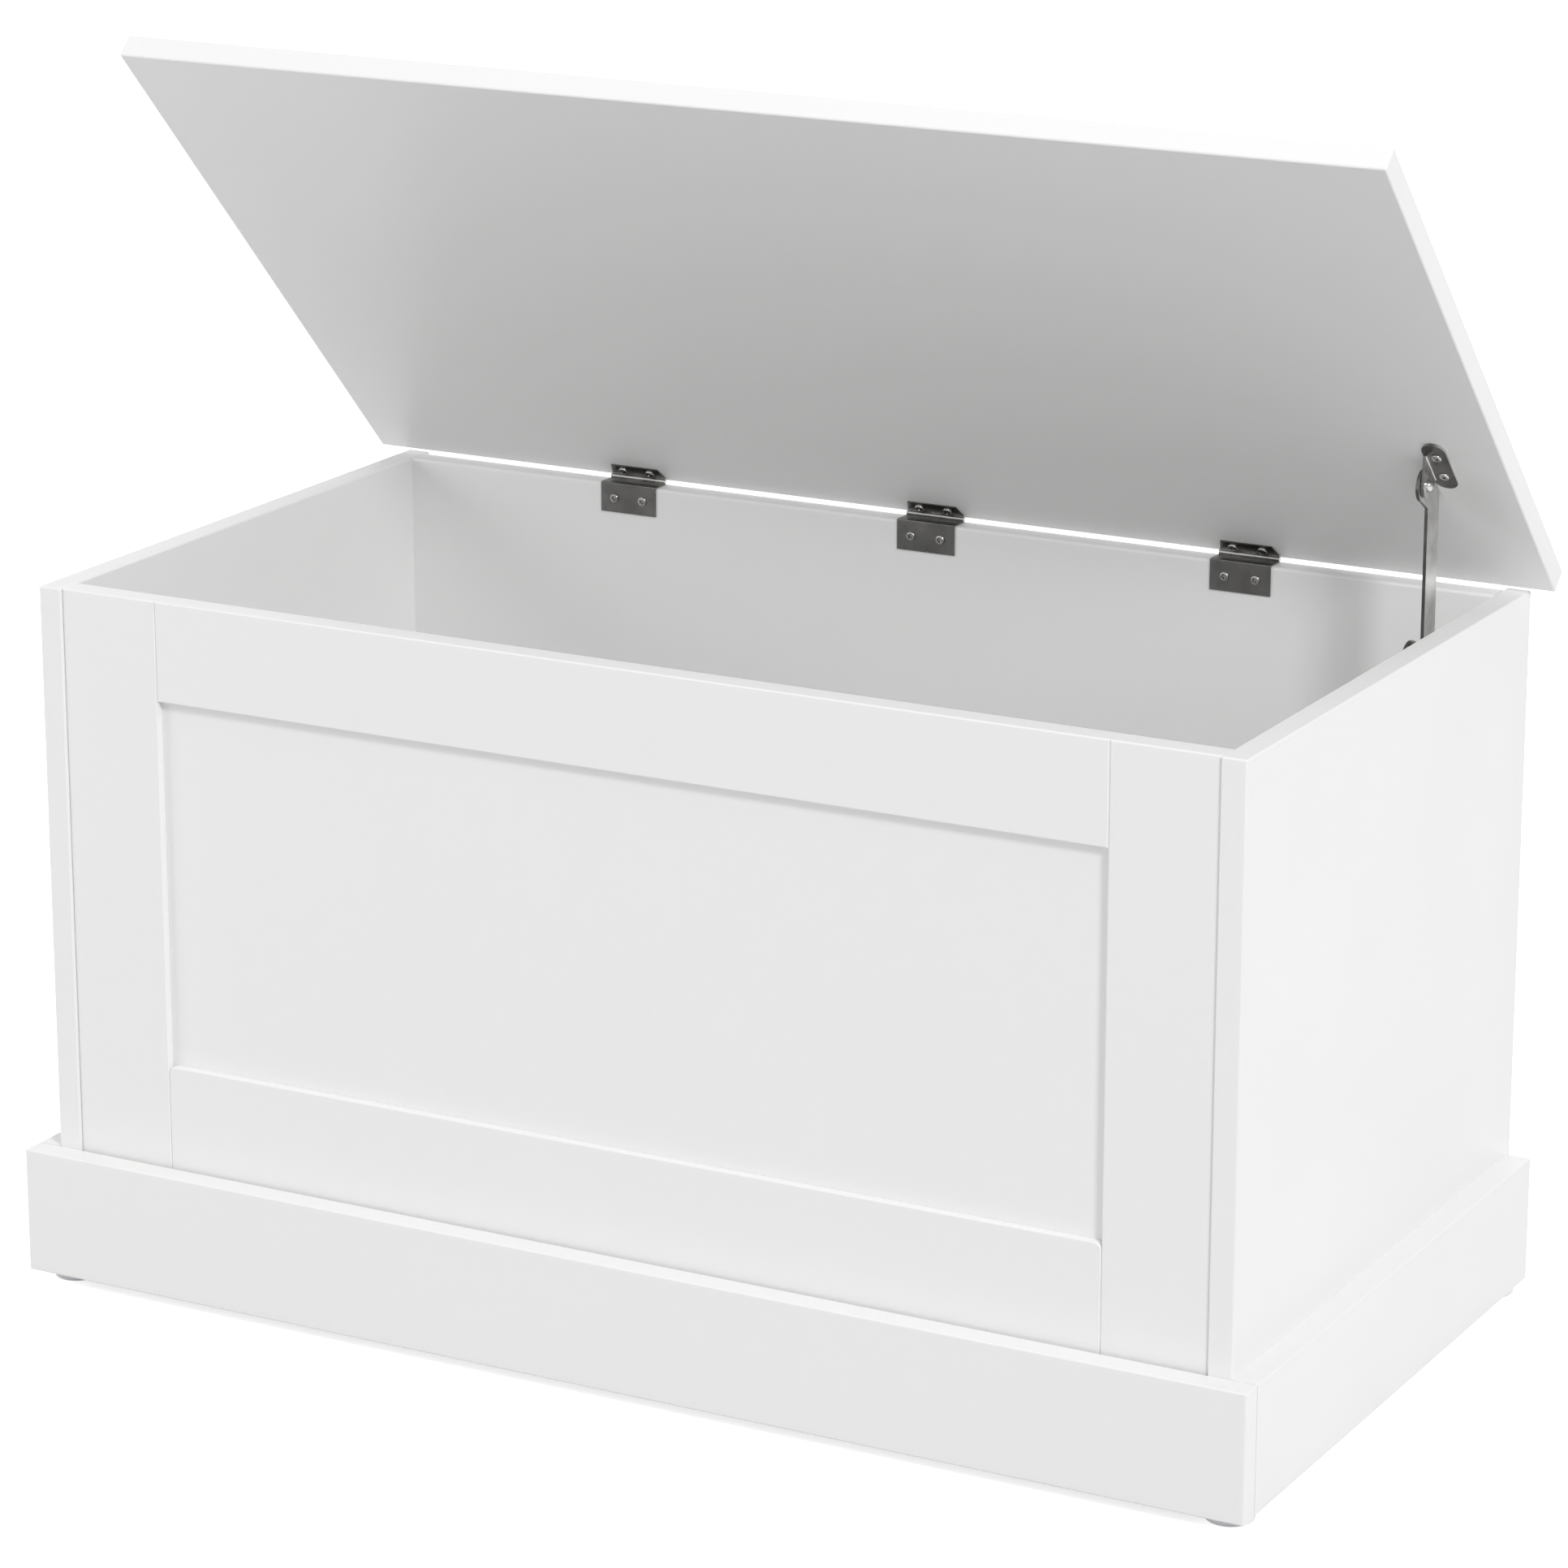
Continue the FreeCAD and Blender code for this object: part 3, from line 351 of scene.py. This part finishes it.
def island_of(start, seen):
    """Corner points that edges join to a start, which are added to those seen."""
    seen.add(start)
    heap = [start]
    island = []
    while heap:
        point = heap.pop()
        island.append(point.co.copy())
        for edge in point.link_edges:
            other = edge.other_vert(point)
            if other not in seen:
                seen.add(other)
                heap.append(other)
    return island


def solids_of(name):
    """Corner points of each separate solid in a CAD node, in the order of its mesh."""
    mesh = bmesh.new()
    mesh.from_mesh(nodes[name].data)
    bmesh.ops.remove_doubles(mesh, verts=mesh.verts, dist=WELD)
    seen = set()
    found = [island_of(start, seen) for start in mesh.verts if start not in seen]
    mesh.free()
    return found


def ring(mesh, radius, height, steps):
    """Points on a circle round Z, or the one on the axis where the radius is zero."""
    if radius == 0:
        return [mesh.verts.new((0, 0, height))]
    turns = [math.tau * k / steps for k in range(steps)]
    return [mesh.verts.new((radius * math.cos(turn), radius * math.sin(turn), height)) for turn in turns]


def turned(profile, steps=40):
    """A solid of revolution round Z from points (radius, height), its ends on the axis."""
    mesh = bmesh.new()
    rings = [ring(mesh, radius, height, steps) for radius, height in profile]
    for low, high in zip(rings, rings[1:]):
        for k in range(steps):
            follow = (k + 1) % steps
            loop = [low[k % len(low)], low[follow % len(low)], high[follow % len(high)], high[k % len(high)]]
            mesh.faces.new(list(dict.fromkeys(loop)))
    bmesh.ops.recalc_face_normals(mesh, faces=mesh.faces)
    return kept_mesh(mesh, "turned")


def cross_cutter(reach, width, depth):
    """A tapered cross that sinks a drive into a head whose top is at zero."""
    mesh = bmesh.new()
    for turn in (0, math.pi / 2):
        points = []
        for share, height in ((CROSS_TAPER, -depth), (1, depth)):
            for x, y in SQUARE:
                at = Vector((x * reach * share, y * width * share, height))
                at.rotate(Matrix.Rotation(turn, 3, "Z"))
                points.append(mesh.verts.new(at))
        for face in ((3, 2, 1, 0), (4, 5, 6, 7), (0, 1, 5, 4), (1, 2, 6, 5), (2, 3, 7, 6), (3, 0, 4, 7)):
            mesh.faces.new([points[k] for k in face])
    return kept_mesh(mesh, "cross")


def sunk(mesh, cutter):
    """A mesh with the cutter taken out."""
    blank = put("blank", mesh)
    tool = put("tool", cutter)
    taking = blank.modifiers.new("drive", "BOOLEAN")
    taking.object = tool
    taking.solver = "EXACT"
    taking.use_self = True
    graph = bpy.context.evaluated_depsgraph_get()
    made = bpy.data.meshes.new_from_object(blank.evaluated_get(graph))
    for item in (blank, tool):
        bpy.data.objects.remove(item)
    return made


def dressed(label, node, mesh, seats):
    """Copies of a mesh on their seats, in place of a CAD node."""
    whole = bmesh.new()
    for seat in seats:
        copy = mesh.copy()
        copy.transform(seat)
        whole.from_mesh(copy)
        bpy.data.meshes.remove(copy)
    made = kept_mesh(whole, label)
    made.shade_smooth()
    made.set_sharp_from_angle(angle=SMOOTH_ANGLE)
    made.materials.append(nodes[node].data.materials[0])
    piece = put(label, made)
    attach(piece, body_of_node[node])
    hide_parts(node)


def span(island, axis):
    """The least and the greatest reach of a solid along an axis."""
    reach = [point.dot(axis) for point in island]
    return min(reach), max(reach)


def seat_frame(island, out, turn):
    """A matrix at a solid's outer end, turned about its axis, and the solid's length along that axis."""
    side = out.orthogonal().normalized()
    across = out.cross(side)
    bottom, top = span(island, out)
    origin = side * (sum(span(island, side)) / 2) + across * (sum(span(island, across)) / 2) + out * top
    matrix = Matrix.Translation(origin) @ out.to_track_quat("Z", "Y").to_matrix().to_4x4()
    return matrix @ Matrix.Rotation(turn, 4, "Z"), top - bottom


def pan_screws(label, node, out):
    """Pan-head screws with a cross drive."""
    fits = [seat_frame(island, out, PAN_FIRST_TURN + PAN_NEXT_TURN * count)
            for count, island in enumerate(solids_of(node))]
    length = max(reach for _, reach in fits)
    head = [(PAN_RADIUS * share, -PAN_HEIGHT * drop) for share, drop in PAN_ROUND]
    shank = [(PAN_SHANK, -PAN_HEIGHT), (PAN_SHANK, PAN_POINT - length), (0, -length)]
    cutter = cross_cutter(PAN_CROSS_REACH, PAN_CROSS_WIDTH, PAN_CROSS_DEPTH)
    dressed(label, node, sunk(turned(head + shank), cutter), [matrix for matrix, _ in fits])


def dome(head, crown, rim, steps=8):
    """Points (radius, height) of a round rivet head from its crown on the axis to its rim."""
    turns = [math.pi / 2 * k / steps for k in range(steps + 1)]
    return [(head * math.sin(turn), rim + (crown - rim) * math.cos(turn)) for turn in turns]


def rivet_rings(node, centre):
    """Radius and place along X of the circles that a rivet's corner points lie on, apart from its axis."""
    points = [vertex.co for vertex in nodes[node].data.vertices]
    rings = {(round((at - centre).yz.length, RING_DECIMALS), round(at.x, RING_DECIMALS)) for at in points}
    return [(radius, x) for radius, x in rings if radius > NO_STEP]


def rivet_end(rings, crown, nearest, own_head=None):
    """Points (radius, place) from the axis to the shank at one end of a rivet, domed where it has a head."""
    shank = min(radius for radius, _ in rings)
    head = max(radius for radius, x in rings if abs(x - crown) < SAME_PLACE)
    if head - shank <= NO_STEP:
        return [(0, crown), (shank, crown)]
    rim = nearest(x for radius, x in rings
                  if abs(radius - head) < SAME_RADIUS and abs(x - crown) > SAME_PLACE)
    if own_head:
        head, rise = own_head
        crown = rim + rise
    return dome(head, crown, rim) + [(shank, rim)]


def rivet(label, node, outer_head=None):
    """A rivet along X whose heads are domed; the outer head can have a radius and a height of its own."""
    low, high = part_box(node)
    centre = (low + high) / 2
    rings = rivet_rings(node, centre)
    inner_end = rivet_end(rings, low.x, min)
    outer_end = rivet_end(rings, high.x, max, outer_head)
    seat = Matrix.Translation((0, centre.y, centre.z)) @ Matrix.Rotation(math.pi / 2, 4, "Y")
    dressed(label, node, turned(inner_end + outer_end[::-1]), [seat])


def cam_side(island):
    """The way the face of a cam lock looks: down where the lock is thinnest along Z, and else to the back."""
    spans = [span(island, axis) for axis in Matrix.Identity(3)]
    along_x, along_y, along_z = [high - low for low, high in spans]
    return Vector((0, 0, -1)) if along_z < min(along_x, along_y) else Vector((0, 1, 0))


def cam_locks():
    """Cam locks with a cross drive in the face that shows."""
    seats = []
    for count, island in enumerate(solids_of("cam_locks")):
        matrix, _ = seat_frame(island, cam_side(island), CAM_NEXT_TURN * count)
        seats.append(matrix)
    profile = [(0, -CAM_FACE_DEPTH), (CAM_FLAT, -CAM_FACE_DEPTH), (CAM_RADIUS, -CAM_EDGE_DEPTH),
               (CAM_RADIUS, -CAM_DEPTH), (0, -CAM_DEPTH)]
    cutter = cross_cutter(CAM_CROSS_REACH, CAM_CROSS_WIDTH, CAM_CROSS_DEPTH)
    dressed("cam_lock_faces", "cam_locks", sunk(turned(profile), cutter), seats)


pan_screws("hinge_body_screw_heads", "hinge_body_screws", Vector((0, -1, 0)))
pan_screws("hinge_lid_screw_heads", "hinge_lid_screws", -LID_UP)
pan_screws("stay_base_screw_heads", "stay_base_screws", Vector((-1, 0, 0)))
pan_screws("stay_bracket_screw_heads", "stay_bracket_screws", -LID_UP)
cam_locks()
rivet("stay_lid_rivet_domes", "stay_lid_rivet", LID_RIVET_HEAD)
for name in ("stay_knee_rivet", "stay_pivot_rivet"):
    rivet(f"{name}_domes", name)


# Floor, light and camera

def seen_rays(tree):
    """One for rays that show a thing to the camera, straight or in gloss or glass, and zero for the rest."""
    path = add(tree, "ShaderNodeLightPath")
    found = path.outputs["Is Camera Ray"]
    for kind in ("Is Glossy Ray", "Is Transmission Ray"):
        either = add(tree, "ShaderNodeMath", operation="MAXIMUM")
        tree.links.new(found, either.inputs[0])
        tree.links.new(path.outputs[kind], either.inputs[1])
        found = either.outputs["Value"]
    return found


def shown_or_lighting(tree, shown, lighting):
    """A shader that looks like one thing and lights like another."""
    pick = add(tree, "ShaderNodeMixShader")
    tree.links.new(seen_rays(tree), pick.inputs["Fac"])
    tree.links.new(lighting, pick.inputs[1])
    tree.links.new(shown, pick.inputs[2])
    return pick.outputs["Shader"]


def floor_paint():
    """White paint that keeps the shadow of what stands on it, and lights less than it shows."""
    made, tree, shader = material("floor_paint", Base_Color=grey(FLOOR_LIGHTING), Roughness=0.9,
                                  Specular_IOR_Level=0.0)
    seen = add(tree, "ShaderNodeBsdfDiffuse", Color=grey(FLOOR_SEEN))
    glow = add(tree, "ShaderNodeEmission", Strength=FLOOR_GLOW)
    both = add(tree, "ShaderNodeAddShader")
    tree.links.new(seen.outputs["BSDF"], both.inputs[0])
    tree.links.new(glow.outputs["Emission"], both.inputs[1])
    mixed = shown_or_lighting(tree, both.outputs["Shader"], shader.outputs["BSDF"])
    tree.links.new(mixed, tree.nodes["Material Output"].inputs["Surface"])
    return made


def floor():
    """A wide white floor."""
    made = bpy.data.meshes.new("floor")
    made.from_pydata([(x * FLOOR_REACH, y * FLOOR_REACH, 0) for x, y in SQUARE], [], [(0, 1, 2, 3)])
    made.materials.append(floor_paint())
    thing = put("floor", made)


def studio():
    """An even white room, brighter to look at than its light is."""
    world = bpy.data.worlds.new("studio")
    bpy.context.scene.world = world
    world.use_nodes = True
    tree = world.node_tree
    lighting = tree.nodes["Background"]
    lighting.inputs["Color"].default_value = opaque(ROOM_WHITE)
    lighting.inputs["Strength"].default_value = ROOM_LIGHTING
    shown = add(tree, "ShaderNodeBackground", Color=opaque(ROOM_WHITE), Strength=ROOM_SEEN)
    mixed = shown_or_lighting(tree, shown.outputs["Background"], lighting.outputs["Background"])
    tree.links.new(mixed, tree.nodes["World Output"].inputs["Surface"])


def panel_light(name, at, width, height, power, highlights=False):
    """A lamp panel aimed at the chest; the low fills leave no highlights."""
    made = bpy.data.lights.new(name, "AREA")
    made.shape = "RECTANGLE"
    made.size = width
    made.size_y = height
    made.energy = power
    thing = put(name, made)
    thing.location = at
    thing.rotation_euler = (LIGHT_AIM - Vector(at)).to_track_quat("-Z", "Y").to_euler()
    thing.visible_glossy = highlights


def camera():
    """The photograph's camera, fitted without a shift."""
    lens = bpy.data.cameras.new("camera")
    lens.lens = CAMERA_LENS
    lens.sensor_width = CAMERA_SENSOR
    thing = put("camera", lens)
    thing.location = CAMERA_PLACE
    thing.rotation_euler = (math.radians(90 - CAMERA_DIP), 0, math.radians(CAMERA_TURN))
    bpy.context.scene.camera = thing


floor()
studio()
panel_light("key", at=(4.832, -3.38, 4.43), width=1.3, height=1.3, power=243, highlights=True)
panel_light("right_fill", at=(3.6, -0.2, 1.3), width=2.6, height=2.2, power=7)
panel_light("left_fill", at=(-3.2, -2.2, 1.4), width=2, height=2, power=40)
panel_light("top_fill", at=(0, -0.2, 3.6), width=3, height=3, power=25, highlights=True)
panel_light("rear_fill", at=(-0.6, 4, 1.8), width=3, height=2, power=45)
camera()
bpy.context.scene.view_settings.view_transform = "Standard"
